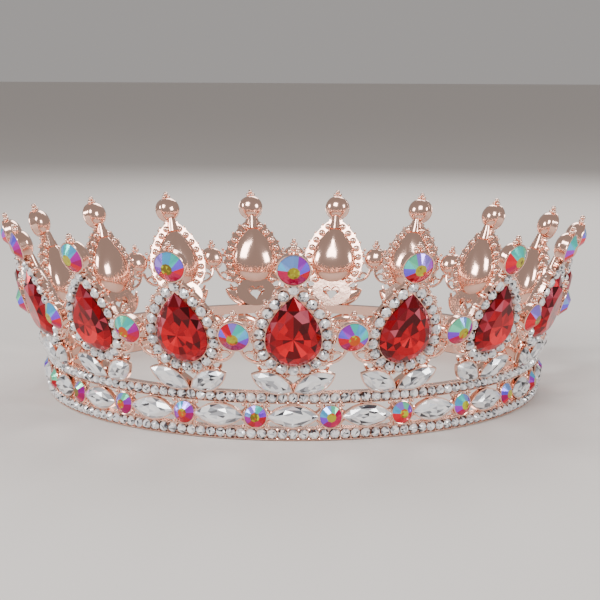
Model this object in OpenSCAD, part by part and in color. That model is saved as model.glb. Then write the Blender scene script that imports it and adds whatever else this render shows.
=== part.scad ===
// Full-round crown: two stone-set rails with a jewelled band between them, and a row of
// pear settings that lean outwards, joined side by side by small round bridge settings.
// Millimetres. Z is up, the origin is on the crown's axis in the plane that it rests on,
// and one pear setting faces -Y.

/* [Rails] */
// Radius of the head opening, inside both rails
head_r = 64.6; // [50:0.1:85]
// Wall of a rail from its bore to its front face
rail_wall = 2.3; // [1.8:0.1:4]
// Height of one rail
rail_h = 2.8; // [2.6:0.1:5]
// Clear height between the two rails
band_gap = 5.8; // [5:0.1:9]
// Depth of the channel that holds the rail stones
rail_channel = 0.9; // [0.5:0.1:1.3]
// Diameter of a rail stone
rail_stone_d = 2.4; // [1.8:0.1:2.5]

/* [Band] */
// Length of a marquise stone in the band
band_marquise_l = 11.8; // [9:0.1:15]
// Width of a marquise stone in the band
band_marquise_w = 5.1; // [3:0.1:5.6]
// Diameter of a round stone in the band
band_round_d = 5.2; // [3:0.1:5.3]

/* [Pear settings] */
// Lean of every pear setting outwards from the vertical, in degrees
lean = 18.8; // [5:0.1:30]
// Width of a pear stone
pear_w = 13; // [10:0.1:16]
// Length of a pear stone
pear_l = 18; // [15:0.1:24]
// Height of a pear stone's rounded end above the upper rail, along the lean
pear_rise = 7.3; // [6.8:0.1:10]
// Diameter of a halo stone around a pear stone
halo_stone_d = 2.7; // [2:0.1:3]
// Thickness of the halo plate
halo_plate = 1.4; // [1.2:0.1:2.5]
// Rim outside the halo stones
halo_rim = 0.3; // [0.2:0.05:0.8]
// Depth of the ledge that the halo stones stand on
halo_ledge = 0.9; // [0.5:0.1:1]

/* [Leaves] */
// Length of a leaf stone
leaf_l = 10; // [8:0.1:11]
// Width of a leaf stone
leaf_w = 5; // [3.5:0.1:5.2]
// Angle of a leaf above the rail, in degrees
leaf_tilt = 26; // [24:1:32]

/* [Finials and bridges] */
// Diameter of the round stone in a finial
finial_stone_d = 7.2; // [5:0.1:8]
// Diameter of the round stone in a bridge
bridge_stone_d = 7; // [5:0.1:7.4]
// Wall of a round cup
cup_wall = 0.25; // [0.2:0.05:0.5]
// Radius of the wire in a bridge scroll
scroll_wire_r = 0.45; // [0.3:0.05:0.6]
// Radius of a bead in a finial's trefoil
finial_bead_r = 0.65; // [0.4:0.05:0.9]
// Radius of a bead in a bridge's trefoil
bridge_bead_r = 0.52; // [0.35:0.05:0.7]

/* [Fits] */
// Clearance between a stone and its seat
seat_gap = 0.05; // [0.02:0.01:0.1]
// Least space between neighbouring small stones
stone_gap = 0.06; // [0.03:0.01:0.2]
// Least space between a bridge cup and the halos beside it
bridge_gap = 0.05; // [0.02:0.01:0.5]

/* [Hidden] */
$fn = 32;
skin = 0.01;
far = 60;

// --- rails and band ---
rail_face_r = head_r + rail_wall;
lower_rail_z = 0;
upper_rail_z = rail_h + band_gap;
rail_top_z = upper_rail_z + rail_h;
band_z = rail_h + band_gap / 2;
rail_stone_count = floor(2 * PI * rail_face_r / (rail_stone_d + stone_gap));
rail_stone_crown = 0.7;
rail_stone_pavilion = 0.75;
culet_share = 0.3;
band_round_cup_r = band_round_d / 2 + seat_gap + cup_wall / 2;
band_pairs = floor(2 * PI * rail_face_r / (band_marquise_l + 2 * band_round_cup_r));
band_pitch = 360 / band_pairs;
band_cup_share = 0.86; // the marquise stone overhangs its cup
band_cup_depth = 2.1;
band_post_w = 1.4;
band_stone_lift = 0.3; // height of a band stone's girdle above the rails' front face

// --- pear outline: a half circle below, a parabola to the tip above ---
pear_r = pear_w / 2;
pear_h = pear_l - pear_r;
pear_centre_s = pear_rise + pear_r;
pear_tip_s = pear_rise + pear_l;
halo_path = stone_gap + halo_stone_d / 2; // distance of the halo stones' centres from the pear stone
halo_wall = halo_path + halo_stone_d / 2 + seat_gap;
halo_outer = halo_wall + halo_rim;
pear_girdle_z = 0.5;
pear_girdle_t = 0.4;
pear_crown = 2.1;
pear_pavilion = 3.4;
pear_table_share = 0.56;
dome_wall = 0.9;

// --- marquise stones, in the band and in the leaves ---
marquise_crown = 1.2;
marquise_pavilion = 1.7;
marquise_girdle = 0.3;
marquise_bezel_share = 0.24; // width lost on each side from girdle to table
marquise_keel_share = 0.44; // width lost on each side from girdle to keel

// --- finial, leaves and bracket, along the lean from the rail's top ---
finial_cup_r = finial_stone_d / 2 + seat_gap + cup_wall;
finial_s = pear_tip_s + halo_path + halo_stone_d / 2 + finial_cup_r + stone_gap;
leaf_tip_x = 0.45;
leaf_tip_s = 0.45;
leaf_x = leaf_tip_x + leaf_l / 2 * cos(leaf_tilt);
leaf_s = leaf_tip_s + leaf_l / 2 * sin(leaf_tilt);
leaf_cup_share = 0.84; // the leaf stone overhangs its cup
leaf_girdle_z = 0.35;
bracket_front = -0.6;
bracket_back = -2;
prong_r = 0.34;
prong_h = 0.75;

// --- ring of pear settings ---
setting_r = rail_face_r - 0.1; // radius of a setting's front plane where it meets the rail
bridge_cup_r = bridge_stone_d / 2 + seat_gap + cup_wall;
bridge_level_s = pear_centre_s + 1.5;
bridge_level_r = setting_r + bridge_level_s * sin(lean);
unit_half_w = pear_r + halo_outer + bridge_cup_r + bridge_gap - cup_wall;
motifs = floor(360 / (2 * asin(unit_half_w / (bridge_level_r + 1.5))));
pitch = 360 / motifs;

// --- bridges stand on the edge where two neighbouring settings' planes meet ---
bridge_lean = atan(tan(lean) / cos(pitch / 2));
bridge_r = setting_r / cos(pitch / 2);
bridge_s = bridge_level_s * cos(lean) / cos(bridge_lean);
bridge_cup_back = -0.5;
bridge_cup_front = 0.7;
bridge_arm_h = 1.3;
scroll_r = bridge_cup_r + 0.75;
scroll_x = scroll_r + 0.15;
scroll_y = -bridge_cup_r - 0.05;
scroll_z = -1.3;

function two_digits(k) = str(k < 10 ? "0" : "", k);
pear_names = [for (k = [1:motifs]) str("pear_setting_", two_digits(k))];
bridge_names = [for (k = [1:motifs]) str("bridge_setting_", two_digits(k))];

rose_gold = [0.91, 0.66, 0.58];
clear_crystal = [0.9, 0.92, 0.95];
red_crystal = [0.75, 0.03, 0.06];
iridescent_red = [0.75, 0.25, 0.55];

// ---------- outlines ----------

// One point of the pear's right side, grown outwards by g; u runs from the widest level to the tip.
function pear_side(u, g) =
    let (n = [pear_h, 2 * pear_r * u], m = norm(n))
    [pear_r * (1 - u * u) + g * n[0] / m, pear_h * u + g * n[1] / m];

function pear_right(g) =
    let (tip_angle = atan2(2 * pear_r, pear_h))
    concat(
        [for (a = [-90:18:-1]) (pear_r + g) * [cos(a), sin(a)]],
        [for (i = [0:6]) pear_side(i / 6, g)],
        g > 0 ? [for (i = [1:2]) let (a = tip_angle + (90 - tip_angle) * i / 2)
            [g * cos(a), pear_h + g * sin(a)]] : []
    );

function reversed(list) = [for (i = [len(list) - 1:-1:0]) list[i]];
function mirrored(list) = [for (p = list) [-p[0], p[1]]];

// The whole pear outline about the centre of its rounded end, grown outwards by g.
function pear_outline(g) =
    let (right = pear_right(g), n = len(right))
    concat(right, mirrored(reversed([for (i = [1:n - 2]) right[i]])));

// Running length along a closed list of points.
function run_lengths(p, i = 0, sum = 0) =
    i == len(p) ? [sum] : concat([sum], run_lengths(p, i + 1, sum + norm(p[(i + 1) % len(p)] - p[i])));

function point_at(p, runs, d) =
    let (i = max([for (j = [0:len(p) - 1]) if (runs[j] <= d) j]),
         t = (d - runs[i]) / (runs[i + 1] - runs[i]))
    p[i] * (1 - t) + p[(i + 1) % len(p)] * t;

// n points evenly spaced along the pear outline grown by g, shifted by a share of a step.
function halo_points(g, n, shift = 0) =
    let (p = pear_outline(g), runs = run_lengths(p), total = runs[len(p)])
    [for (i = [0:n - 1]) point_at(p, runs, (i + shift) * total / n)];

halo_run = run_lengths(pear_outline(halo_path));
halo_count = floor(halo_run[len(halo_run) - 1] / (halo_stone_d + stone_gap));

module heart(w, h) {
    lobe = w / 4;
    polygon(concat(
        [[0, -h / 2]],
        [for (a = [-20:25:180]) [lobe + lobe * cos(a), h / 2 - lobe + lobe * sin(a)]],
        [for (a = [25:25:200]) [-lobe + lobe * cos(a), h / 2 - lobe + lobe * sin(a)]]
    ));
}

// ---------- stones ----------

// A round stone with its girdle at z 0: pavilion with a small flat culet below, crown and flat table above.
module round_stone(d, crown, pavilion, table = 0.5, girdle = 0.16) {
    r = d / 2;
    rotate_extrude()
        polygon([
            [0, -pavilion], [r * culet_share, -pavilion], [r, -girdle / 2],
            [r, girdle / 2], [r * table, crown], [0, crown]
        ]);
}

// A faceted stone over any outline: keel, girdle and table joined by flat facets.
module outline_stone(points, grow_keel, girdle_t, crown, pavilion, table, keel, centre = [0, 0]) {
    hull() {
        translate([0, 0, -girdle_t / 2]) linear_extrude(girdle_t) polygon(points);
        translate([centre[0], centre[1], crown - skin]) linear_extrude(skin)
            scale(table) translate(-centre) polygon(points);
        translate([centre[0], centre[1], -pavilion - grow_keel]) linear_extrude(skin)
            scale(keel) translate(-centre) polygon(points);
    }
}

// A pointed oval body between two arcs: steps lists [inset, z] from the lowest level to the highest.
module marquise_body(l, w, steps) {
    r = (l * l + w * w) / (4 * w);
    profile = concat(
        [[0, steps[0][1]]],
        [for (p = steps) [r - p[0], p[1]]],
        [[0, steps[len(steps) - 1][1]]]
    );
    intersection() {
        translate([0, w / 2 - r, 0]) rotate_extrude() polygon(profile);
        translate([0, r - w / 2, 0]) rotate_extrude() polygon(profile);
    }
}

module marquise_stone(l, w) {
    marquise_body(l, w, [
        [w * marquise_keel_share, -marquise_pavilion], [0, -marquise_girdle / 2],
        [0, marquise_girdle / 2], [w * marquise_bezel_share, marquise_crown]
    ]);
}

// The seat of a marquise stone, open at the top.
module marquise_pocket(l, w) {
    marquise_body(l + 2 * seat_gap, w + 2 * seat_gap, [
        [w * marquise_keel_share, -marquise_pavilion - seat_gap], [0, -marquise_girdle / 2], [0, far]
    ]);
}

// The pear stone, in its setting's frame.
module pear_stone() {
    translate([0, pear_centre_s, pear_girdle_z])
        outline_stone(pear_outline(0), 0, pear_girdle_t, pear_crown, pear_pavilion,
            pear_table_share, 0.14, [0, pear_r * 0.3]);
}

// ---------- frames on the crown ----------

// A pear setting's frame: x to its right, y up along the lean, z outwards; k counts from 0 at the front.
module at_setting(k) {
    rotate([0, 0, k * pitch]) translate([0, -setting_r, rail_top_z]) rotate([90 + lean, 0, 0]) children();
}

// A bridge's frame, with its stone at the origin, halfway between settings k and k + 1.
module at_bridge(k) {
    rotate([0, 0, (k + 0.5) * pitch]) translate([0, -bridge_r, rail_top_z])
        rotate([90 + bridge_lean, 0, 0]) translate([0, bridge_s, 0]) children();
}

// A place in the band, k steps of the band's pitch round from the front.
module at_band(k) {
    rotate([0, 0, k * band_pitch]) translate([0, -rail_face_r, band_z]) rotate([90, 0, 0]) children();
}

// ---------- rails ----------

// A ring of rectangular section with a channel round its front face.
module rail(z0) {
    lip = (rail_h - rail_stone_d) / 2 - seat_gap;
    floor_r = rail_face_r - rail_channel;
    color(rose_gold) translate([0, 0, z0]) rotate_extrude()
        polygon([
            [head_r, 0], [rail_face_r, 0], [rail_face_r, lip], [floor_r, lip],
            [floor_r, rail_h - lip], [rail_face_r, rail_h - lip], [rail_face_r, rail_h], [head_r, rail_h]
        ]);
}

// The row of round stones that stands in a rail's channel.
module rail_stones(z0) {
    step = 360 / rail_stone_count;
    seat_r = rail_face_r - rail_channel + rail_stone_pavilion;
    color(clear_crystal) for (i = [0:rail_stone_count - 1])
        rotate([0, 0, i * step]) translate([0, -seat_r, z0 + rail_h / 2]) rotate([90, 0, 0])
            round_stone(rail_stone_d, rail_stone_crown, rail_stone_pavilion);
}

// ---------- band between the rails ----------

// A saddle under each marquise stone, with a post that meets both rails.
module band_marquise_cups() {
    l = band_marquise_l * band_cup_share;
    w = band_marquise_w * band_cup_share;
    color(rose_gold) for (i = [0:band_pairs - 1]) at_band(i)
        difference() {
            union() {
                marquise_body(l, w, [[w * 0.2, -band_cup_depth], [0, -0.9], [0, 0]]);
                translate([-band_post_w / 2, -band_gap / 2, -band_cup_depth])
                    cube([band_post_w, band_gap, band_cup_depth - 0.6]);
            }
            translate([0, 0, band_stone_lift]) marquise_pocket(band_marquise_l, band_marquise_w);
        }
}

// A round cup between each two marquise stones, with four stays to the rails.
module band_round_cups() {
    stay_x = band_round_cup_r * 0.62;
    color(rose_gold) for (i = [0:band_pairs - 1]) at_band(i + 0.5)
        difference() {
            union() {
                translate([0, 0, -1.2]) cylinder(r = band_round_cup_r, h = 1.4);
                for (side = [-1, 1])
                    translate([side * stay_x - 0.3, -band_gap / 2, -1.2]) cube([0.6, band_gap, 0.8]);
            }
            translate([0, 0, -0.7]) cylinder(d = band_round_d + 2 * seat_gap, h = far);
        }
}

module band_round_stones() {
    color(iridescent_red) for (i = [0:band_pairs - 1]) at_band(i + 0.5)
        translate([0, 0, 0.5]) round_stone(band_round_d, 1.1, 1.2, 0.45);
}

module band_marquise_stones() {
    color(clear_crystal) for (i = [0:band_pairs - 1]) at_band(i)
        translate([0, 0, band_stone_lift]) marquise_stone(band_marquise_l, band_marquise_w);
}

// ---------- pear settings ----------

module leaf_place(side) {
    mirror([side < 0 ? 1 : 0, 0, 0]) translate([leaf_x, leaf_s, leaf_girdle_z]) rotate([0, 0, leaf_tilt])
        children();
}

// The pocket that the pear stone drops into.
module pear_pocket() {
    translate([0, pear_centre_s, pear_girdle_z]) {
        hull() {
            translate([0, 0, -pear_girdle_t / 2]) linear_extrude(skin) polygon(pear_outline(seat_gap));
            translate([0, pear_r * 0.3, -pear_pavilion - seat_gap]) linear_extrude(skin)
                scale(0.16) translate([0, -pear_r * 0.3]) polygon(pear_outline(seat_gap));
        }
        translate([0, 0, -pear_girdle_t / 2]) linear_extrude(far) polygon(pear_outline(seat_gap));
    }
}

// The plate round the pear stone: a ledge for the halo stones inside a thin rim, and a closed dome behind.
module halo_plate_and_dome() {
    translate([0, pear_centre_s, 0]) difference() {
        translate([0, 0, -halo_plate]) linear_extrude(halo_plate) polygon(pear_outline(halo_outer));
        translate([0, 0, -halo_ledge]) linear_extrude(far) polygon(pear_outline(halo_wall));
    }
    translate([0, pear_centre_s, 0]) hull() {
        translate([0, 0, -halo_plate]) linear_extrude(skin) polygon(pear_outline(0.3));
        translate([0, pear_r * 0.3, pear_girdle_z - pear_pavilion - dome_wall]) linear_extrude(skin)
            scale(0.4) translate([0, -pear_r * 0.3]) polygon(pear_outline(0.3));
    }
}

// Small posts on the rim, one in each gap between two halo stones.
module halo_prongs() {
    for (p = halo_points(halo_wall + prong_r / 2, halo_count, 0.5))
        translate([p[0], pear_centre_s + p[1], -halo_ledge]) cylinder(r = prong_r, h = halo_ledge + prong_h, $fn = 16);
}

// The round cup above the pear, its stem and the three beads on top.
module finial() {
    translate([0, finial_s, 0]) {
        translate([0, 0, -1.1]) cylinder(r = finial_cup_r, h = 1.7);
        translate([0, 0, -2.6]) cylinder(r1 = finial_cup_r * 0.45, r2 = finial_cup_r, h = 1.5);
        for (side = [-1, 1])
            translate([side * finial_bead_r * 1.05, finial_cup_r + finial_bead_r * 0.5, -0.4]) sphere(r = finial_bead_r);
        translate([0, finial_cup_r + finial_bead_r * 2.1, -0.4]) sphere(r = finial_bead_r);
    }
    stem_from = pear_tip_s - 2.5;
    translate([-1.4, stem_from, -2.3]) cube([2.8, finial_s - stem_from, 1.2]);
}

module finial_pocket() {
    translate([0, finial_s, -0.9]) cylinder(d = finial_stone_d + 2 * seat_gap, h = far);
}

// The foot between the rail and the halo: a plate with a heart-shaped window, and a cup under each leaf stone.
module leaf_bracket() {
    l = leaf_l * leaf_cup_share;
    w = leaf_w * leaf_cup_share;
    difference() {
        translate([0, 0, bracket_back]) linear_extrude(bracket_front - bracket_back)
            polygon([[-5.6, -2], [5.6, -2], [7.4, 3.6], [5.8, pear_rise], [-5.8, pear_rise], [-7.4, 3.6]]);
        translate([0, 2.75, bracket_back - skin]) linear_extrude(far) heart(4.4, 3.7);
    }
    for (side = [-1, 1]) leaf_place(side) marquise_body(l, w, [[w * 0.2, -2.4], [0, -1.3], [0, -0.4]]);
}

// A small bead pair on each flank of the halo, above the bridge scrolls.
module flank_beads() {
    level = -0.28 * (pear_r + halo_outer);
    reach = sqrt(pow(pear_r + halo_outer, 2) - level * level);
    for (side = [-1, 1]) {
        translate([side * (reach + 0.2), pear_centre_s + level, -0.6]) sphere(r = 0.5);
        translate([side * (reach - 0.05), pear_centre_s + level - 0.9, -0.6]) sphere(r = 0.45);
    }
}

// One whole casting, before its foot is cut level with the rail.
module pear_casting() {
    difference() {
        union() {
            halo_plate_and_dome();
            halo_prongs();
            finial();
            leaf_bracket();
            flank_beads();
        }
        pear_pocket();
        finial_pocket();
        for (side = [-1, 1]) leaf_place(side) marquise_pocket(leaf_l, leaf_w);
    }
}

module pear_setting(k) {
    color(rose_gold) difference() {
        at_setting(k) pear_casting();
        translate([0, 0, rail_top_z - far]) cylinder(r = rail_face_r + far, h = far);
    }
}

module pear_stones() {
    color(red_crystal) for (k = [0:motifs - 1]) at_setting(k) pear_stone();
}

module halo_stones() {
    color(clear_crystal) for (k = [0:motifs - 1]) at_setting(k)
        for (p = halo_points(halo_path, halo_count))
            translate([p[0], pear_centre_s + p[1], -halo_ledge + 1.02])
                round_stone(halo_stone_d - seat_gap, 0.8, 1.02);
}

module leaf_stones() {
    color(clear_crystal) for (k = [0:motifs - 1]) at_setting(k)
        for (side = [-1, 1]) leaf_place(side) marquise_stone(leaf_l, leaf_w);
}

module finial_stones() {
    color(iridescent_red) for (k = [0:motifs - 1]) at_setting(k)
        translate([0, finial_s, 0.75]) round_stone(finial_stone_d, 1.6, 1.65, 0.42);
}

// ---------- bridges ----------

// A quarter-turn of wire that runs down from the cup and out to a halo.
module scroll(side) {
    mirror([side < 0 ? 1 : 0, 0, 0]) translate([scroll_x, scroll_y, scroll_z]) rotate([0, 0, 180])
        rotate_extrude(angle = 125) translate([scroll_r, 0]) circle(r = scroll_wire_r, $fn = 16);
}

module bridge_casting() {
    difference() {
        union() {
            translate([0, 0, bridge_cup_back]) cylinder(r = bridge_cup_r, h = bridge_cup_front - bridge_cup_back);
            translate([0, 0, bridge_cup_back - 1.6])
                cylinder(r1 = bridge_cup_r * 0.4, r2 = bridge_cup_r * 0.8, h = 1.6);
            translate([-6, -bridge_arm_h / 2, -1.9]) cube([12, bridge_arm_h, 1.1]);
            translate([-0.9, -bridge_cup_r - 1, scroll_z - scroll_wire_r]) cube([1.8, bridge_cup_r, 2 * scroll_wire_r]);
            for (side = [-1, 1]) {
                scroll(side);
                translate([side * bridge_bead_r * 1.05, bridge_cup_r + bridge_bead_r * 0.4, -0.2]) sphere(r = bridge_bead_r);
            }
            translate([0, bridge_cup_r + bridge_bead_r * 2, -0.2]) sphere(r = bridge_bead_r);
        }
        translate([0, 0, bridge_cup_front - 1]) cylinder(d = bridge_stone_d + 2 * seat_gap, h = far);
    }
}

// The space that the two neighbouring halo plates take up.
module neighbour_plates(k) {
    for (j = [k, k + 1]) at_setting(j) translate([0, pear_centre_s, -far / 2]) linear_extrude(far)
        polygon(pear_outline(halo_outer));
}

module bridge_setting(k) {
    color(rose_gold) difference() {
        at_bridge(k) bridge_casting();
        difference() {
            neighbour_plates(k);
            at_bridge(k) translate([0, 0, bridge_cup_back - skin]) cylinder(r = bridge_cup_r + 2 * skin, h = far);
        }
    }
}

module bridge_stones() {
    color(iridescent_red) for (k = [0:motifs - 1]) at_bridge(k)
        translate([0, 0, bridge_cup_front + 0.45]) round_stone(bridge_stone_d, 1.5, 1.45, 0.42);
}

// ---------- nodes ----------

rail(lower_rail_z);  // lower_rail
rail(upper_rail_z);  // upper_rail
band_marquise_cups();
band_round_cups();
for (k = [0:motifs - 1]) pear_setting(k);
for (k = [0:motifs - 1]) bridge_setting(k);
rail_stones(lower_rail_z);  // lower_rail_stones
rail_stones(upper_rail_z);  // upper_rail_stones
band_marquise_stones();
band_round_stones();
pear_stones();
halo_stones();
leaf_stones();
finial_stones();
bridge_stones();
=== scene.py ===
"""Rose-gold full-round crown with red, clear and iridescent crystals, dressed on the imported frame.

Shapes are modelled in millimetres about their own origin, then copied to their places in metres.
"""

from __future__ import annotations

import logging
import math
import random
from collections.abc import Callable, Iterable, Sequence
from dataclasses import dataclass, field
from enum import Enum

import bpy
from mathutils import Matrix, Vector

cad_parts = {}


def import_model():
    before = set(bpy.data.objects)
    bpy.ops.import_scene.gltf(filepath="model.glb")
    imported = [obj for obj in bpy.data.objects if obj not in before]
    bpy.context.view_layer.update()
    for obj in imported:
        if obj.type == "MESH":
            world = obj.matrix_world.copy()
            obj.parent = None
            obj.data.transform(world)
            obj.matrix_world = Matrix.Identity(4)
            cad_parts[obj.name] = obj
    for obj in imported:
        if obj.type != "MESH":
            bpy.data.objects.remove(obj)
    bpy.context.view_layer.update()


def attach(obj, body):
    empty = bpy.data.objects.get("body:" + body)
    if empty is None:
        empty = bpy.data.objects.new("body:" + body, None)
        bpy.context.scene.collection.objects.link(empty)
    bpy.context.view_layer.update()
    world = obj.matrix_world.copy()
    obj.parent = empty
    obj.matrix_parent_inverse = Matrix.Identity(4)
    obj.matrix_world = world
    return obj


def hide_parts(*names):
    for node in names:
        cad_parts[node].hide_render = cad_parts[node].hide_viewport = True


LOG = logging.getLogger("crown")
MM = 0.001
Colour = tuple[float, float, float, float]
Outline = Callable[[float], tuple[float, float]]
Painter = Callable[[Vector, Vector], Colour]


class Slot(Enum):
    """The record's material slots."""

    METAL = "rose_gold_plate"
    CLEAR = "clear_crystal"
    RED = "red_crystal"
    IRIDESCENT = "iridescent_red_crystal"


# ---------- sizes ----------


@dataclass(frozen=True)
class RingSizes:
    """Radii, heights and counts of the crown's rings, in millimetres and degrees."""

    bore: float = 64.6
    channel: float = 66.0
    face: float = 66.9
    rail_height: float = 2.8
    upper_rail: float = 8.6
    lip: float = 0.17
    rail_stones: int = 170
    band_height: float = 5.7
    band_pairs: int = 24
    motifs: int = 17
    lean: float = 18.8
    setting_radius: float = 66.8
    bridge_lean: float = 19.1022
    bridge_radius: float = 67.957
    bridge_rise: float = 15.328


@dataclass(frozen=True)
class PearSizes:
    """Sizes of one pear setting in its leaning plane, in millimetres."""

    radius: float = 6.5
    height: float = 11.5
    centre: float = 13.8
    halo_count: int = 20
    halo_stone: float = 1.33
    halo_path: float = 1.41
    halo_outer: float = 3.0
    finial: float = 32.02
    finial_stone: float = 3.6
    leaf_length: float = 10.0
    leaf_width: float = 5.0
    leaf_tilt: float = 26.0
    leaf_x: float = 4.944
    leaf_y: float = 2.642


RINGS = RingSizes()
PEAR = PearSizes()


# ---------- finishes ----------


def to_linear(code: str) -> Colour:
    """Turn an sRGB hex colour into a linear one.

    Args:
        code: the colour as "#RRGGBB".

    Returns:
        Red, green, blue and an alpha of 1.
    """
    parts = [int(code[i : i + 2], 16) / 255 for i in (1, 3, 5)]
    r, g, b = (c / 12.92 if c <= 0.04045 else ((c + 0.055) / 1.055) ** 2.4 for c in parts)
    return (r, g, b, 1.0)


def add_node(tree: bpy.types.NodeTree, kind: str, **values: object) -> bpy.types.Node:
    """Add a shader node and set its inputs or properties.

    Args:
        tree: the material's node tree.
        kind: the node's type name.
        **values: input names (with _ for a space) or property names, and their values.

    Returns:
        The new node.
    """
    node = tree.nodes.new(kind)
    for key, value in values.items():
        title = key.replace("_", " ")
        if title in node.inputs:
            node.inputs[title].default_value = value
        else:
            setattr(node, key, value)
    return node


@dataclass(frozen=True)
class MetalFinish:
    """Polished electroplate on a small casting."""

    name: str
    colour: str
    roughness: float
    grain_mm: float = 1.6
    relief_mm: float = 0.035

    def build(self) -> bpy.types.Material:
        """Make the material.

        Returns:
            A metal with the faint unevenness of a cast and plated surface.
        """
        material = bpy.data.materials.new(self.name)
        material.use_nodes = True
        tree = material.node_tree
        shader = tree.nodes["Principled BSDF"]
        shader.inputs["Base Color"].default_value = to_linear(self.colour)
        shader.inputs["Metallic"].default_value = 1.0
        shader.inputs["Roughness"].default_value = self.roughness
        where = add_node(tree, "ShaderNodeTexCoord")
        noise = add_node(tree, "ShaderNodeTexNoise", Scale=1 / (self.grain_mm * MM), Detail=2.0)
        bump = add_node(tree, "ShaderNodeBump", Strength=0.5, Distance=self.relief_mm * MM)
        tree.links.new(where.outputs["Object"], noise.inputs["Vector"])
        tree.links.new(noise.outputs["Fac"], bump.inputs["Height"])
        tree.links.new(bump.outputs["Normal"], shader.inputs["Normal"])
        return material


@dataclass(frozen=True)
class CrystalFinish:
    """Foil-backed cut crystal, coloured facet by facet with the stone's own colour and painted glints,
    reflections, light and shade.
    """

    name: str
    metallic: float
    roughness: float
    coat: float

    def build(self) -> bpy.types.Material:
        """Make the material.

        Returns:
            A glossy material that takes each facet's colour from the mesh.
        """
        material = bpy.data.materials.new(self.name)
        material.use_nodes = True
        tree = material.node_tree
        shader = tree.nodes["Principled BSDF"]
        shader.inputs["Metallic"].default_value = self.metallic
        shader.inputs["Roughness"].default_value = self.roughness
        shader.inputs["Coat Weight"].default_value = self.coat
        shader.inputs["Coat Roughness"].default_value = 0.02
        # The facet colours hold painted glints, reflections, light and shade together with each stone's own
        # colour.
        facet = add_node(tree, "ShaderNodeVertexColor", layer_name="facet")
        tree.links.new(facet.outputs["Color"], shader.inputs["Base Color"])
        return material


# ---------- outlines ----------


def circle_outline(radius: float) -> Outline:
    """Outline of a circle.

    Args:
        radius: its radius in millimetres.

    Returns:
        A function from an angle to a point about the centre.
    """

    def point(angle: float) -> tuple[float, float]:
        return (radius * math.cos(angle), radius * math.sin(angle))

    return point


def pear_outline(grow: float = 0.0) -> Outline:
    """Outline of the pear: a half circle below and a parabola to the tip above.

    Args:
        grow: distance outside the stone's edge, in millimetres.

    Returns:
        A function from an angle to a point about the rounded end's centre.
    """

    def point(angle: float) -> tuple[float, float]:
        a = math.atan2(math.sin(angle), math.cos(angle))
        r, h = PEAR.radius, PEAR.height
        if a <= 0:
            return ((r + grow) * math.cos(a), (r + grow) * math.sin(a))
        side = 1.0 if a <= math.pi / 2 else -1.0
        u = (a if a <= math.pi / 2 else math.pi - a) / (math.pi / 2)
        nx, ny = h * min(1.0, (1 - u) * 6), 2 * r * u
        m = max(math.hypot(nx, ny), 1e-9)
        return (side * (r * (1 - u * u) + grow * nx / m), h * u + grow * ny / m)

    return point


def navette_outline(length: float, width: float) -> Outline:
    """Outline of a marquise: two arcs that meet in points on the x axis.

    Args:
        length: tip to tip, in millimetres.
        width: across the middle, in millimetres.

    Returns:
        A function from an angle to a point about the middle.
    """
    r = (length * length + width * width) / (4 * width)

    def point(angle: float) -> tuple[float, float]:
        x = length / 2 * math.cos(angle)
        y = math.sqrt(r * r - x * x) - (r - width / 2)
        return (x, math.copysign(max(y, 0.0), math.sin(angle)))

    return point


def spaced(outline: Outline, count: int, shift: float = 0.0) -> list[tuple[float, float]]:
    """Points evenly spaced along a closed outline, from its top.

    Args:
        outline: the outline to follow.
        count: how many points.
        shift: share of a step to move every point on by.

    Returns:
        The points.
    """
    fine = [Vector(outline(math.pi / 2 + 2 * math.pi * i / 1440)) for i in range(1441)]
    runs = [0.0]
    for a, b in zip(fine, fine[1:]):
        runs.append(runs[-1] + (b - a).length)
    places = []
    for i in range(count):
        want = ((i + shift) % count) / count * runs[-1]
        j = next(n for n in range(len(runs)) if runs[n] >= want - 1e-9)
        places.append((fine[j].x, fine[j].y))
    return places


# ---------- modelling helpers ----------


def deselect() -> None:
    """Leave edit mode and select nothing."""
    if bpy.context.object is not None and bpy.context.object.mode != "OBJECT":
        bpy.ops.object.mode_set(mode="OBJECT")
    bpy.ops.object.select_all(action="DESELECT")


def use(obj: bpy.types.Object) -> None:
    """Make an object the only selected and active one.

    Args:
        obj: the object.
    """
    deselect()
    obj.select_set(True)
    bpy.context.view_layer.objects.active = obj


def settle() -> bpy.types.Object:
    """Apply the new primitive's place, turn and scale.

    Returns:
        The primitive.
    """
    obj = bpy.context.object
    bpy.ops.object.transform_apply(location=True, rotation=True, scale=True)
    return obj


def join(parts: Sequence[bpy.types.Object], name: str) -> bpy.types.Object:
    """Join objects into one.

    Args:
        parts: the objects.
        name: the name of the result.

    Returns:
        The joined object.
    """
    use(parts[0])
    for part in parts[1:]:
        part.select_set(True)
    if len(parts) > 1:
        bpy.ops.object.join()
    parts[0].name = name
    return parts[0]


def remap(obj: bpy.types.Object, outline: Outline, centre: tuple[float, float] = (0.0, 0.0)) -> None:
    """Pull a unit-radius shape out to an outline.

    Args:
        obj: the shape, round about the z axis.
        outline: where its unit circle goes.
        centre: where its axis goes.
    """
    for vertex in obj.data.vertices:
        x, y, z = vertex.co
        rho = math.hypot(x, y)
        px, py = outline(math.atan2(y, x))
        vertex.co = (centre[0] + rho * (px - centre[0]), centre[1] + rho * (py - centre[1]), z)


def smooth(obj: bpy.types.Object, degrees: float = 40) -> None:
    """Shade smooth up to an angle.

    Args:
        obj: the object.
        degrees: edges sharper than this stay sharp.
    """
    use(obj)
    bpy.ops.object.shade_smooth_by_angle(angle=math.radians(degrees))


def ball(
    radius: float, at: Sequence[float], scale: Sequence[float] = (1, 1, 1), fine: int = 14
) -> bpy.types.Object:
    """A bead.

    Args:
        radius: its radius in millimetres.
        at: its centre.
        scale: stretch along each axis.
        fine: segments around.

    Returns:
        The bead.
    """
    deselect()
    bpy.ops.mesh.primitive_uv_sphere_add(
        segments=fine, ring_count=fine // 2 + 1, radius=radius, location=at, scale=scale
    )
    return settle()


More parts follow.
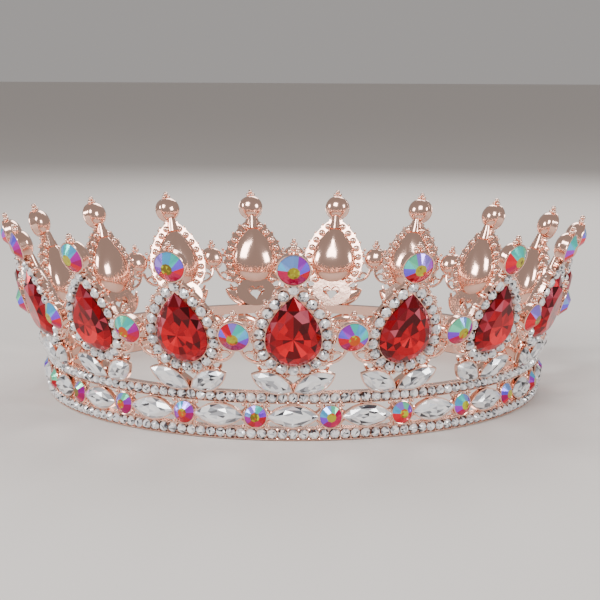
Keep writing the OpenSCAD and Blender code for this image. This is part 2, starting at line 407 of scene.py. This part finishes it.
def cone(
    radii: tuple[float, float], start: Sequence[float], end: Sequence[float], fine: int = 32
) -> bpy.types.Object:
    """A round rod or cone between two points.

    Args:
        radii: its radius at the start and at the end.
        start: the first point.
        end: the second point.
        fine: segments around.

    Returns:
        The rod.
    """
    a, b = Vector(start), Vector(end)
    turn = (b - a).to_track_quat("Z", "Y").to_euler()
    deselect()
    bpy.ops.mesh.primitive_cone_add(
        vertices=fine,
        radius1=radii[0],
        radius2=radii[1],
        depth=(b - a).length,
        location=(a + b) / 2,
        rotation=turn,
    )
    return settle()


def hoop(major: float, minor: float, at: Sequence[float], fine: int = 40) -> bpy.types.Object:
    """A ring of round wire, flat in the xy plane.

    Args:
        major: the ring's radius.
        minor: the wire's radius.
        at: its centre.
        fine: segments around the ring.

    Returns:
        The ring.
    """
    deselect()
    bpy.ops.mesh.primitive_torus_add(
        major_radius=major, minor_radius=minor, major_segments=fine, minor_segments=8, location=at
    )
    return settle()


def scroll(major: float, minor: float, at: Sequence[float], away: Sequence[float]) -> bpy.types.Object:
    """Half a ring of wire.

    Args:
        major: the ring's radius.
        minor: the wire's radius.
        at: its centre.
        away: direction of the half that is cut off.

    Returns:
        The half ring.
    """
    obj = hoop(major, minor, at, 32)
    bpy.ops.object.mode_set(mode="EDIT")
    bpy.ops.mesh.select_all(action="SELECT")
    bpy.ops.mesh.bisect(plane_co=at, plane_no=away, clear_outer=True, use_fill=True)
    bpy.ops.object.mode_set(mode="OBJECT")
    return obj


def bowl(
    outline: Outline,
    depth: float,
    at: tuple[float, float, float],
    centre: tuple[float, float] = (0, 0),
    fine: int = 40,
) -> bpy.types.Object:
    """A closed, rounded back under an outline.

    Args:
        outline: its edge.
        depth: how far it bulges to -z.
        at: where its edge's own origin goes.
        centre: the deepest point.
        fine: segments around.

    Returns:
        The bowl.
    """
    obj = ball(1.0, (0, 0, 0), fine=fine)
    bpy.ops.object.mode_set(mode="EDIT")
    bpy.ops.mesh.select_all(action="SELECT")
    bpy.ops.mesh.bisect(plane_co=(0, 0, 0), plane_no=(0, 0, 1), clear_outer=True, use_fill=True)
    bpy.ops.object.mode_set(mode="OBJECT")
    remap(obj, outline, centre)
    obj.data.transform(Matrix.Translation(at) @ Matrix.Diagonal((1, 1, depth, 1)))
    return obj


def slab(outline: Outline, low: float, high: float, fine: int = 56) -> bpy.types.Object:
    """A flat plate with a given outline.

    Args:
        outline: its edge.
        low: z of its back.
        high: z of its front.
        fine: points around.

    Returns:
        The plate.
    """
    deselect()
    bpy.ops.mesh.primitive_cylinder_add(
        vertices=fine, radius=1, depth=high - low, location=(0, 0, (low + high) / 2)
    )
    obj = settle()
    remap(obj, outline)
    return obj


def cut(obj: bpy.types.Object, tool: bpy.types.Object) -> None:
    """Cut one shape out of another.

    Args:
        obj: the shape that stays.
        tool: the shape that is cut out, and then removed.
    """
    use(obj)
    modifier = obj.modifiers.new("cut", "BOOLEAN")
    modifier.operation = "DIFFERENCE"
    modifier.object = tool
    bpy.ops.object.modifier_apply(modifier=modifier.name)
    bpy.data.objects.remove(tool)


def copy_at(source: bpy.types.Object, name: str, place: Matrix) -> bpy.types.Object:
    """Copy a shape with its own mesh.

    Args:
        source: the shape.
        name: the copy's name.
        place: where the copy goes.

    Returns:
        The copy, with its place in its mesh.
    """
    mesh = source.data.copy()
    mesh.transform(place)
    obj = bpy.data.objects.new(name, mesh)
    bpy.context.scene.collection.objects.link(obj)
    return obj


# ---------- gems ----------


@dataclass(frozen=True)
class Tier:
    """One ring of a gem's corners, as a share of its outline."""

    count: int
    share: float
    height: float
    turned: bool = False


@dataclass(frozen=True)
class Cut:
    """How a gem is cut."""

    tiers: tuple[Tier, ...]
    table: float
    inset: float = 0.0
    centre: tuple[float, float] = (0.0, 0.0)

    def build(self, name: str, outline: Outline) -> bpy.types.Object:
        """Model the gem, with its girdle at z 0.

        Args:
            name: the object's name.
            outline: the outline of its girdle.

        Returns:
            The gem.
        """
        deselect()
        for i, tier in enumerate(self.tiers):
            turn = math.pi / tier.count if tier.turned else 0.0
            bpy.ops.mesh.primitive_circle_add(
                vertices=tier.count, radius=tier.share, location=(0, 0, tier.height), rotation=(0, 0, turn)
            )
            if i == 0:
                obj = settle()
                bpy.ops.object.mode_set(mode="EDIT")
        bpy.ops.mesh.select_all(action="SELECT")
        bpy.ops.mesh.convex_hull(join_triangles=False)
        bpy.ops.object.mode_set(mode="OBJECT")
        if self.inset:
            self._facet_table(obj)
        remap(obj, outline, self.centre)
        obj.name = name
        return obj

    def _facet_table(self, obj: bpy.types.Object) -> None:
        """Divide the table as the pavilion divides it for the eye, so that the painted reflections of the
        pavilion seen through it have faces to sit on.

        Args:
            obj: the gem.
        """
        bpy.ops.object.mode_set(mode="EDIT")
        bpy.ops.mesh.select_mode(type="FACE")
        bpy.ops.mesh.select_all(action="DESELECT")
        bpy.ops.object.mode_set(mode="OBJECT")
        for face in obj.data.polygons:
            face.select = face.center.z > self.table - 0.001
        bpy.ops.object.mode_set(mode="EDIT")
        bpy.ops.mesh.dissolve_faces()
        bpy.ops.mesh.inset(thickness=self.inset)
        bpy.ops.mesh.poke()
        bpy.ops.object.mode_set(mode="OBJECT")


TRIM_CUT = Cut((Tier(8, 1.0, 0.0), Tier(8, 0.56, 0.72, True), Tier(4, 0.2, -0.75)), 0.72, 0.0)
HALO_CUT = Cut(
    (Tier(10, 1.0, 0.0), Tier(5, 0.78, 0.5), Tier(5, 0.5, 0.82, True), Tier(4, 0.2, -0.9)), 0.82, 0.18
)
ROUND_CUT = Cut((Tier(20, 1.0, 0.0), Tier(10, 0.4, 1.45), Tier(5, 0.2, -1.4)), 1.45, 0.14)
BAND_ROUND_CUT = Cut((Tier(16, 1.0, 0.0), Tier(8, 0.44, 1.1), Tier(5, 0.2, -1.1)), 1.1, 0.16)
NAVETTE_CUT = Cut(
    (Tier(16, 1.0, 0.0), Tier(8, 0.8, 0.75, True), Tier(8, 0.56, 1.2), Tier(4, 0.3, -1.5)), 1.2, 0.2
)
PEAR_CUT = Cut(
    (Tier(28, 1.0, 0.0), Tier(14, 0.84, 1.25, True), Tier(14, 0.62, 2.1), Tier(7, 0.2, -3.0)),
    2.1,
    0.24,
    (0.0, 1.6),
)


def paint(obj: bpy.types.Object, painter: Painter) -> None:
    """Give every facet one colour, painted light and shade included.

    Args:
        obj: the gem.
        painter: the colour for a facet's centre and normal.
    """
    mesh = obj.data
    layer = mesh.color_attributes.get("facet") or mesh.color_attributes.new(
        name="facet", type="FLOAT_COLOR", domain="CORNER"
    )
    for face in mesh.polygons:
        colour = painter(face.center, face.normal)
        for loop in face.loop_indices:
            layer.data[loop].color = colour


def clear_painter(rng: random.Random) -> Painter:
    """Painted sparkle of a clear foil-backed stone: random white glints and grey to near-black reflections,
    facet by facet.

    Args:
        rng: the stone's own random numbers.

    Returns:
        The painter.
    """
    # Painted glints and reflections: whites stand for glints, greys down to near-black for reflections of the
    # darker surroundings.
    painted_sparkle_tones = [to_linear(c) for c in ("#FFFFFF", "#F4F6F8", "#DCDFE4", "#B0B3B9", "#77797F", "#3E3F45")]

    def choose(_centre: Vector, _normal: Vector) -> Colour:
        return rng.choices(painted_sparkle_tones, weights=(8, 5, 3, 2.2, 1.6, 1.4))[0]

    return choose


def red_painter(rng: random.Random) -> Painter:
    """Deep reds of a foil-backed pear with painted light and shade: painted shade makes the upper facets
    darker, painted bright scarlet light fills the lower ones, and a painted pale reflection sits at the
    shoulder.

    Args:
        rng: the stone's own random numbers.

    Returns:
        The painter.
    """
    # Deep reds with painted shade, plain mid reds, scarlets with painted light, and pinks for the painted
    # pale reflection.
    shaded_deep_reds = [to_linear(c) for c in ("#4E0008", "#760010", "#9C0014", "#B40018")]
    mid = [to_linear(c) for c in ("#A00014", "#C40018", "#DC001C", "#B00016", "#62000A")]
    lit_scarlets = [to_linear(c) for c in ("#E4001C", "#F80A22", "#FF2030", "#BE0018", "#6C000A")]
    pale = [to_linear(c) for c in ("#B8384A", "#9C1C2C", "#C4586A")]

    def choose(centre: Vector, normal: Vector) -> Colour:
        if normal.z < 0.97:
            # Painted pale reflection on crown facets at the upper shoulder, more often on the left.
            if centre.y > 1.5 and rng.random() < (0.55 if centre.x < 0 else 0.3):
                return rng.choice(pale)
            # Painted shade on the other upper crown facets; plain mid reds lower down.
            return rng.choice(shaded_deep_reds if centre.y > -1 else mid)
        # Table: painted shade mixed in at the top, plain mid reds above the middle, painted bright scarlet
        # light below.
        if centre.y > 4:
            return rng.choice(shaded_deep_reds + mid)
        return rng.choice(mid if centre.y > 0 else lit_scarlets)

    return choose


def iridescent_painter(rng: random.Random, facets: int) -> Painter:
    """Coated red stone in the coating's own colours, placed as painted light: blues and lilacs on the upper
    facets as a painted reflection of the bright surroundings above, magenta and red below, an olive table.

    Args:
        rng: the stone's own random numbers.
        facets: number of large facets round the crown.

    Returns:
        The painter.
    """
    painted_sky_blues = [to_linear(c) for c in ("#4EE6DC", "#5CC4FF", "#86B0FF", "#74ECBE", "#A488FF")]
    lilac = [to_linear(c) for c in ("#8A3CF0", "#B23CE0", "#7458FF", "#B010A0")]
    rose = [to_linear(c) for c in ("#D00054", "#E00028", "#C00020", "#B00068", "#F01030")]
    table = [to_linear(c) for c in ("#C6CE1E", "#A89C18", "#7C6A12", "#D65A18", "#B8B030")]
    swing = rng.uniform(-0.6, 0.6)
    wheel = []
    # Painted reflection: facets facing up take the blues, side facets the lilacs, facets facing down the
    # reds.
    for i in range(facets):
        lift = math.sin(2 * math.pi * (i + 0.5) / facets + swing) + rng.uniform(-0.15, 0.15)
        wheel.append(rng.choice(painted_sky_blues if lift > 0.35 else lilac if lift > -0.25 else rose))
    if rng.random() < 0.4:
        wheel[rng.randrange(facets)] = rng.choice(rose)
    core = rng.choice(table)

    def choose(centre: Vector, normal: Vector) -> Colour:
        if normal.z > 0.97:
            return core if rng.random() < 0.65 else rng.choice(table)
        turn = (math.atan2(centre.y, centre.x) / (2 * math.pi)) % 1.0
        return wheel[int(turn * facets) % facets]

    return choose


# ---------- places ----------


def setting_place(k: float) -> Matrix:
    """Frame of a pear setting: x right, y up along the lean, z outwards.

    Args:
        k: steps from the front.

    Returns:
        From millimetres in the setting to metres in the row.
    """
    turn = Matrix.Rotation(math.radians(k * 360 / RINGS.motifs), 4, "Z")
    out = Matrix.Translation((0, -RINGS.setting_radius, RINGS.upper_rail + RINGS.rail_height))
    return Matrix.Scale(MM, 4) @ turn @ out @ Matrix.Rotation(math.radians(90 + RINGS.lean), 4, "X")


def bridge_place(k: float) -> Matrix:
    """Frame of a bridge, with its cup at the origin, between settings k and k + 1.

    Args:
        k: steps from the front.

    Returns:
        From millimetres in the bridge to metres in the row.
    """
    turn = Matrix.Rotation(math.radians((k + 0.5) * 360 / RINGS.motifs), 4, "Z")
    out = Matrix.Translation((0, -RINGS.bridge_radius, RINGS.upper_rail + RINGS.rail_height))
    lean = Matrix.Rotation(math.radians(90 + RINGS.bridge_lean), 4, "X")
    return Matrix.Scale(MM, 4) @ turn @ out @ lean @ Matrix.Translation((0, RINGS.bridge_rise, 0))


def ring_place(degrees: float, radius: float, height: float) -> Matrix:
    """Frame of a stone that faces straight outwards.

    Args:
        degrees: its angle round from the front.
        radius: its distance from the axis.
        height: its height.

    Returns:
        From millimetres at the stone to metres in the row.
    """
    turn = Matrix.Rotation(math.radians(degrees), 4, "Z")
    out = Matrix.Translation((0, -radius, height))
    return Matrix.Scale(MM, 4) @ turn @ out @ Matrix.Rotation(math.radians(90), 4, "X")


def setting_error(rng: random.Random, tilt: float) -> Matrix:
    """How a small stone is turned and tipped in its seat.

    Args:
        rng: the row's own random numbers.
        tilt: the largest tip to either side, in radians.

    Returns:
        The turn and the tip.
    """
    turn = Matrix.Rotation(rng.uniform(0, math.pi), 4, "Z")
    return turn @ Matrix.Rotation(rng.uniform(-tilt, tilt), 4, "X")


# ---------- sub-assemblies ----------


@dataclass
class Workshop:
    """Holds the finishes and hands finished pieces over to the frame."""

    materials: dict[Slot, bpy.types.Material] = field(default_factory=dict)

    def __post_init__(self) -> None:
        """Build the four finishes."""
        self.materials = {
            Slot.METAL: MetalFinish("rose_gold_electroplate_polished", "#F6C9B6", 0.13).build(),
            Slot.CLEAR: CrystalFinish("clear_crystal_foil_backed", 0.25, 0.06, 0.7).build(),
            Slot.RED: CrystalFinish("siam_red_crystal_foil_backed", 0.7, 0.16, 0.25).build(),
            Slot.IRIDESCENT: CrystalFinish("red_crystal_iridescent_coated", 0.6, 0.16, 0.3).build(),
        }

    def deliver(self, obj: bpy.types.Object, slot: Slot, nodes: Iterable[str]) -> None:
        """Dress a finished piece and tie it to the frame.

        Args:
            obj: the piece.
            slot: its finish.
            nodes: the CAD nodes that it stands for.
        """
        obj.data.materials.clear()
        obj.data.materials.append(self.materials[slot])
        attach(obj, "root")
        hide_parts(*nodes)
        LOG.info("%s: %d faces", obj.name, len(obj.data.polygons))


@dataclass
class Rail:
    """A rail with its row of stones and the bead prongs between them."""

    name: str
    base: float
    stone: float = 1.2

    def _strip(self, inner: float, outer: float, low: float, high: float) -> bpy.types.Object:
        """A ring of rectangular section.

        Args:
            inner: its inner radius.
            outer: its outer radius.
            low: its lower height.
            high: its upper height.

        Returns:
            The ring.
        """
        deselect()
        bpy.ops.mesh.primitive_circle_add(vertices=256, radius=outer, location=(0, 0, low))
        obj = settle()
        bpy.ops.object.mode_set(mode="EDIT")
        bpy.ops.mesh.select_mode(type="EDGE")
        bpy.ops.mesh.select_all(action="SELECT")
        for rise, share in ((high - low, 1.0), (0.0, inner / outer), (low - high, 1.0), (0.0, outer / inner)):
            bpy.ops.mesh.extrude_edges_move(TRANSFORM_OT_translate={"value": (0, 0, rise)})
            bpy.ops.transform.resize(value=(share, share, 1), center_override=(0, 0, 0))
        bpy.ops.mesh.select_all(action="SELECT")
        bpy.ops.mesh.remove_doubles(threshold=0.002)
        bpy.ops.mesh.normals_make_consistent(inside=False)
        bpy.ops.object.mode_set(mode="OBJECT")
        return obj

    def build(self, shop: Workshop) -> None:
        """Model the rail and its stones.

        Args:
            shop: the workshop.
        """
        low, high, lip = self.base, self.base + RINGS.rail_height, RINGS.lip
        parts = [
            self._strip(RINGS.bore, RINGS.channel, low, high),
            self._strip(RINGS.channel - 0.1, RINGS.face, low, low + lip),
            self._strip(RINGS.channel - 0.1, RINGS.face, high - lip, high),
        ]
        step = 360 / RINGS.rail_stones
        deselect()
        bpy.ops.mesh.primitive_ico_sphere_add(subdivisions=1, radius=0.3)
        bead = settle()
        for i in range(RINGS.rail_stones):
            for rise in (0.3, RINGS.rail_height - 0.3):
                place = Matrix.Scale(1 / MM, 4) @ ring_place((i + 0.5) * step, RINGS.face - 0.05, low + rise)
                parts.append(copy_at(bead, "bead", place))
        bpy.data.objects.remove(bead)
        rail = join(parts, f"{self.name}_casting")
        smooth(rail, 35)
        rail.data.transform(Matrix.Scale(MM, 4))
        shop.deliver(rail, Slot.METAL, [self.name])

        gem = TRIM_CUT.build("trim", circle_outline(self.stone))
        stones = []
        rng = random.Random(self.name)
        for i in range(RINGS.rail_stones):
            paint(gem, clear_painter(rng))
            spin = setting_error(rng, 0.12)
            place = ring_place(i * step, RINGS.face - 0.1, low + RINGS.rail_height / 2) @ spin
            stones.append(copy_at(gem, "stone", place))
        bpy.data.objects.remove(gem)
        shop.deliver(join(stones, f"{self.name}_crystals"), Slot.CLEAR, [f"{self.name}_stones"])


@dataclass
class Band:
    """The row of marquise and round stones between the rails."""

    length: float = 11.8
    width: float = 5.1
    radius: float = 2.6

    def _navette_cup(self) -> bpy.types.Object:
        """Bezel, rounded back and post of a marquise stone.

        Returns:
            The cup.
        """
        edge = navette_outline(self.length + 0.8, self.width + 0.5)
        plate = slab(edge, -0.7, 0.42)
        back = bowl(edge, 1.4, (0, 0, -0.7))
        posts = [cone((0.5, 0.5), (x, -2.95, -1.1), (x, 2.95, -1.1), 12) for x in (-1.1, 1.1)]
        return join([plate, back, *posts], "navette_cup")

    def _round_cup(self) -> bpy.types.Object:
        """Cup, stays and curled wires of a round stone.

        Returns:
            The cup.
        """
        r = self.radius + 0.05
        parts = [
            cone((r, r + 0.2), (0, 0, -0.8), (0, 0, 0.42)),
            bowl(circle_outline(r), 1.1, (0, 0, -0.8), fine=24),
            hoop(r + 0.06, 0.17, (0, 0, 0.42), 32),
        ]
        for x in (-1, 1):
            for y in (-1, 1):
                parts.append(scroll(1.55, 0.3, (x * 3.9, y * 2.45, -0.35), (x * 0.6, y * 1.0, 0)))
                parts.append(ball(0.42, (x * 3.0, y * 2.55, -0.25)))
            parts.append(ball(0.36, (x * 3.15, 0, 0.0)))
            parts.append(cone((0.3, 0.3), (x * 1.5, -2.95, -0.8), (x * 1.5, 2.95, -0.8), 10))
        return join(parts, "round_cup")

    def build(self, shop: Workshop) -> None:
        """Model the band.

        Args:
            shop: the workshop.
        """
        step = 360 / RINGS.band_pairs
        oval_cup, round_cup = self._navette_cup(), self._round_cup()
        oval = NAVETTE_CUT.build("oval", navette_outline(self.length, self.width))
        gem = BAND_ROUND_CUT.build("gem", circle_outline(self.radius))
        smooth(oval_cup)
        smooth(round_cup)
        for i in range(RINGS.band_pairs):
            rng = random.Random(500 + i)
            at = ring_place(i * step, RINGS.face, RINGS.band_height)
            half = ring_place((i + 0.5) * step, RINGS.face, RINGS.band_height)
            number = f"{i + 1:02d}"
            shop.deliver(
                copy_at(oval_cup, f"band_marquise_cup_{number}", at), Slot.METAL, ["band_marquise_cups"]
            )
            shop.deliver(
                copy_at(round_cup, f"band_round_cup_{number}", half), Slot.METAL, ["band_round_cups"]
            )
            paint(oval, clear_painter(rng))
            lifted = at @ Matrix.Translation((0, 0, 0.5))
            shop.deliver(
                copy_at(oval, f"band_marquise_{number}", lifted), Slot.CLEAR, ["band_marquise_stones"]
            )
            paint(gem, iridescent_painter(rng, 8))
            lifted = half @ Matrix.Translation((0, 0, 0.5))
            shop.deliver(copy_at(gem, f"band_round_{number}", lifted), Slot.IRIDESCENT, ["band_round_stones"])
        for source in (oval_cup, round_cup, oval, gem):
            bpy.data.objects.remove(source)


@dataclass
class PearSetting:
    """One leaning pear setting: casting, pear, halo, leaves and finial."""

    sizes: PearSizes = PEAR

    def _heart_plate(self) -> bpy.types.Object:
        """The foot plate with its heart-shaped window.

        Returns:
            The plate.
        """
        deselect()
        bpy.ops.mesh.primitive_cylinder_add(
            vertices=48, radius=1, depth=1.3, location=(0, 3.6, -1.6), scale=(6.4, 4.6, 1)
        )
        plate = settle()
        deselect()
        bpy.ops.mesh.primitive_cylinder_add(vertices=36, radius=1, depth=6)
        heart = settle()
        for vertex in heart.data.vertices:
            t = math.atan2(vertex.co.x, vertex.co.y)
            x = 16 * math.sin(t) ** 3
            y = 13 * math.cos(t) - 5 * math.cos(2 * t) - 2 * math.cos(3 * t) - math.cos(4 * t)
            vertex.co.x, vertex.co.y = x * 0.175, 3.6 + y * 0.155
            vertex.co.z -= 1.3
        cut(plate, heart)
        return plate

    def _leaf_place(self, side: int) -> Matrix:
        """Frame of a leaf.

        Args:
            side: -1 for left, 1 for right.

        Returns:
            From the leaf to the setting.
        """
        tilt = math.radians(self.sizes.leaf_tilt * side)
        place = Matrix.Translation((side * self.sizes.leaf_x, self.sizes.leaf_y, 0.35))
        return place @ Matrix.Rotation(tilt, 4, "Z")

    def _finial(self) -> list[bpy.types.Object]:
        """Cup, rounded back, stem and trefoil above the pear.

        Returns:
            The parts.
        """
        s, r = self.sizes.finial, self.sizes.finial_stone + 0.1
        parts = [
            cone((r, r + 0.2), (0, s, -0.9), (0, s, 0.62)),
            bowl(circle_outline(r), 2.4, (0, s, -0.9), fine=32),
            hoop(r + 0.1, 0.2, (0, s, 0.62)),
            cone((1.9, 1.0), (0, s - 7.4, -1.5), (0, s - 3.2, -1.7), 20),
            ball(0.72, (0, s + r + 1.45, -0.4)),
        ]
        parts += [ball(0.7, (x, s + r + 0.45, -0.4)) for x in (-0.75, 0.75)]
        return parts

    def _casting(self) -> bpy.types.Object:
        """The whole metal casting.

        Returns:
            The casting.
        """
        c = self.sizes.centre
        lift = Matrix.Translation((0, c, 0))
        plate = slab(pear_outline(self.sizes.halo_outer), -1.4, -0.35, 72)
        inner = slab(pear_outline(0.12), -0.6, 0.32, 72)
        dome = bowl(pear_outline(0.7), 3.4, (0, 0, -1.35), (0.0, 1.0), 56)
        parts = [plate, inner, dome]
        for x, y in spaced(pear_outline(self.sizes.halo_outer - 0.05), self.sizes.halo_count, 0.5):
            out = Vector((x, y - 1.5)).normalized()
            side = Vector((-out.y, out.x))
            for t in (-0.42, 0.42):
                p = Vector((x, y)) + side * t
                parts.append(ball(0.42, (p.x, p.y, -0.2), (1, 1, 1.4), 10))
                parts.append(cone((0.3, 0.34), (p.x, p.y, -1.3), (p.x, p.y, -0.2), 8))
            tip = Vector((x, y)) + out * 0.55
            parts.append(ball(0.42, (tip.x, tip.y, -0.95), (1, 1, 1), 10))
        for x, y in spaced(pear_outline(self.sizes.halo_path + 0.25), self.sizes.halo_count):
            parts.append(ball(1.15, (x, y, -1.35), (1, 1, 0.75), 10))
        for part in parts:
            part.data.transform(lift)
        parts.append(self._heart_plate())
        edge = navette_outline(self.sizes.leaf_length + 0.7, self.sizes.leaf_width + 0.45)
        for side in (-1, 1):
            for leaf in (slab(edge, -0.75, -0.05), bowl(edge, 1.0, (0, 0, -0.75))):
                leaf.data.transform(self._leaf_place(side))
                parts.append(leaf)
            parts.append(ball(0.75, (side * 8.0, c - 3.4, -1.2)))
            parts.append(ball(0.6, (side * 6.3, c - 6.2, -1.3)))
            parts.append(scroll(1.5, 0.4, (side * 6.6, 6.4, -1.5), (0, 1, 0)))
        parts += self._finial()
        casting = join(parts, "casting")
        smooth(casting)
        return casting

    def build(self, shop: Workshop) -> None:
        """Model one setting and place it all round.

        Args:
            shop: the workshop.
        """
        size = self.sizes
        casting = self._casting()
        pear = PEAR_CUT.build("pear", pear_outline(0.0))
        halo = HALO_CUT.build("halo", circle_outline(size.halo_stone))
        leaf = NAVETTE_CUT.build("leaf", navette_outline(size.leaf_length, size.leaf_width))
        r = size.finial_stone
        finial = ROUND_CUT.build("finial", circle_outline(r))
        spots = spaced(pear_outline(size.halo_path), size.halo_count)
        for k in range(RINGS.motifs):
            rng, number, at = random.Random(40 + k), f"{k + 1:02d}", setting_place(k)
            shop.deliver(
                copy_at(casting, f"pear_casting_{number}", at), Slot.METAL, [f"pear_setting_{number}"]
            )
            paint(pear, red_painter(rng))
            place = at @ Matrix.Translation((0, size.centre, 0.5))
            shop.deliver(copy_at(pear, f"pear_crystal_{number}", place), Slot.RED, ["pear_stones"])
            stones = []
            for x, y in spots:
                paint(halo, clear_painter(rng))
                spin = setting_error(rng, 0.1)
                stones.append(copy_at(halo, "h", at @ Matrix.Translation((x, size.centre + y, 0.12)) @ spin))
            shop.deliver(join(stones, f"halo_crystals_{number}"), Slot.CLEAR, ["halo_stones"])
            for side, word in ((-1, "left"), (1, "right")):
                paint(leaf, clear_painter(rng))
                obj = copy_at(leaf, f"leaf_crystal_{word}_{number}", at @ self._leaf_place(side))
                shop.deliver(obj, Slot.CLEAR, ["leaf_stones"])
            paint(finial, iridescent_painter(rng, 10))
            obj = copy_at(finial, f"finial_crystal_{number}", at @ Matrix.Translation((0, size.finial, 0.7)))
            shop.deliver(obj, Slot.IRIDESCENT, ["finial_stones"])
        for source in (casting, pear, halo, leaf, finial):
            bpy.data.objects.remove(source)


@dataclass
class Bridge:
    """One bridge between two pear settings, with its round stone."""

    stone: float = 3.5

    def _casting(self) -> bpy.types.Object:
        """Cup, trefoil, arms, beads and scroll wires.

        Returns:
            The casting.
        """
        r = self.stone + 0.08
        parts = [
            cone((r * 0.9, r + 0.18), (0, 0, -0.6), (0, 0, 0.95)),
            bowl(circle_outline(0.9 * r), 1.6, (0, 0, -0.6), fine=32),
            hoop(r + 0.08, 0.19, (0, 0, 0.95)),
            ball(0.72, (0, r + 1.75, -0.2)),
        ]
        for x in (-1, 1):
            parts += [
                ball(0.62, (x * 0.68, r + 0.6, -0.2)),
                ball(0.62, (x * 1.0, -r - 0.45, -0.3)),
                cone((0.5, 0.5), (x * 2.4, 0.3, -1.2), (x * 5.6, 1.1, -1.2), 12),
                ball(0.55, (x * 4.3, 1.5, -0.9)),
                ball(0.5, (x * 3.5, 2.6, -0.9)),
                scroll(4.2, 0.42, (x * 4.9, -3.7, -1.3), (0, 1, 0)),
                scroll(1.3, 0.36, (x * 2.9, -6.4, -1.2), (x * -0.5, -1, 0)),
                ball(0.5, (x * 4.1, -6.3, -1.2)),
            ]
        casting = join(parts, "casting")
        smooth(casting)
        return casting

    def build(self, shop: Workshop) -> None:
        """Model one bridge and place it all round.

        Args:
            shop: the workshop.
        """
        casting, r = self._casting(), self.stone
        gem = ROUND_CUT.build("gem", circle_outline(r))
        for k in range(RINGS.motifs):
            rng, number, at = random.Random(900 + k), f"{k + 1:02d}", bridge_place(k)
            shop.deliver(
                copy_at(casting, f"bridge_casting_{number}", at), Slot.METAL, [f"bridge_setting_{number}"]
            )
            paint(gem, iridescent_painter(rng, 10))
            obj = copy_at(gem, f"bridge_crystal_{number}", at @ Matrix.Translation((0, 0, 1.1)))
            shop.deliver(obj, Slot.IRIDESCENT, ["bridge_stones"])
        for source in (casting, gem):
            bpy.data.objects.remove(source)


@dataclass
class Studio:
    """Pale floor, soft lights and the camera."""

    def _light(self, name: str, at: Sequence[float], size: float, power: float) -> None:
        """A soft square light that faces the crown.

        Args:
            name: its name.
            at: its place in metres.
            size: its side in metres.
            power: its power in watts.
        """
        data = bpy.data.lights.new(name, "AREA")
        data.size, data.energy = size, power
        lamp = bpy.data.objects.new(name, data)
        bpy.context.scene.collection.objects.link(lamp)
        lamp.location = at
        lamp.rotation_euler = (Vector((0, 0, 0.02)) - Vector(at)).to_track_quat("-Z", "Y").to_euler()

    def build(self) -> None:
        """Set the stage."""
        deselect()
        bpy.ops.mesh.primitive_plane_add(size=60, location=(0, 0, -0.0002))
        floor = bpy.context.object
        floor.name = "floor"
        material = bpy.data.materials.new("pale_paper_floor")
        material.use_nodes = True
        shader = material.node_tree.nodes["Principled BSDF"]
        shader.inputs["Base Color"].default_value = to_linear("#DAD4CF")
        shader.inputs["Roughness"].default_value = 0.8
        floor.data.materials.append(material)
        world = bpy.data.worlds.new("studio")
        world.use_nodes = True
        world.node_tree.nodes["Background"].inputs["Color"].default_value = to_linear("#B8B4B2")
        world.node_tree.nodes["Background"].inputs["Strength"].default_value = 0.8
        bpy.context.scene.world = world
        self._light("key", (-0.25, -0.55, 0.6), 0.35, 5.0)
        self._light("right", (0.6, -0.35, 0.35), 0.25, 2.5)
        self._light("left", (-0.65, -0.1, 0.3), 0.2, 2.0)
        self._light("back", (0.1, 0.6, 0.5), 0.4, 3.5)
        data = bpy.data.cameras.new("camera")
        data.lens, data.sensor_width = 85.3, 36.0
        camera = bpy.data.objects.new("camera", data)
        bpy.context.scene.collection.objects.link(camera)
        camera.matrix_world = (
            Matrix.Translation((0, -0.390, 0.0834))
            @ Matrix.Rotation(math.radians(-0.26), 4, "Z")
            @ Matrix.Rotation(math.radians(90 - 8.83), 4, "X")
            @ Matrix.Rotation(math.radians(0.29), 4, "Z")
        )
        bpy.context.scene.camera = camera


def main() -> None:
    """Build every piece on the frame, in order."""
    logging.basicConfig(level=logging.INFO, format="%(name)s: %(message)s")
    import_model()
    shop = Workshop()
    Rail("lower_rail", 0.0).build(shop)
    Rail("upper_rail", RINGS.upper_rail).build(shop)
    Band().build(shop)
    PearSetting().build(shop)
    Bridge().build(shop)
    Studio().build()


if __name__ == "__main__":
    main()
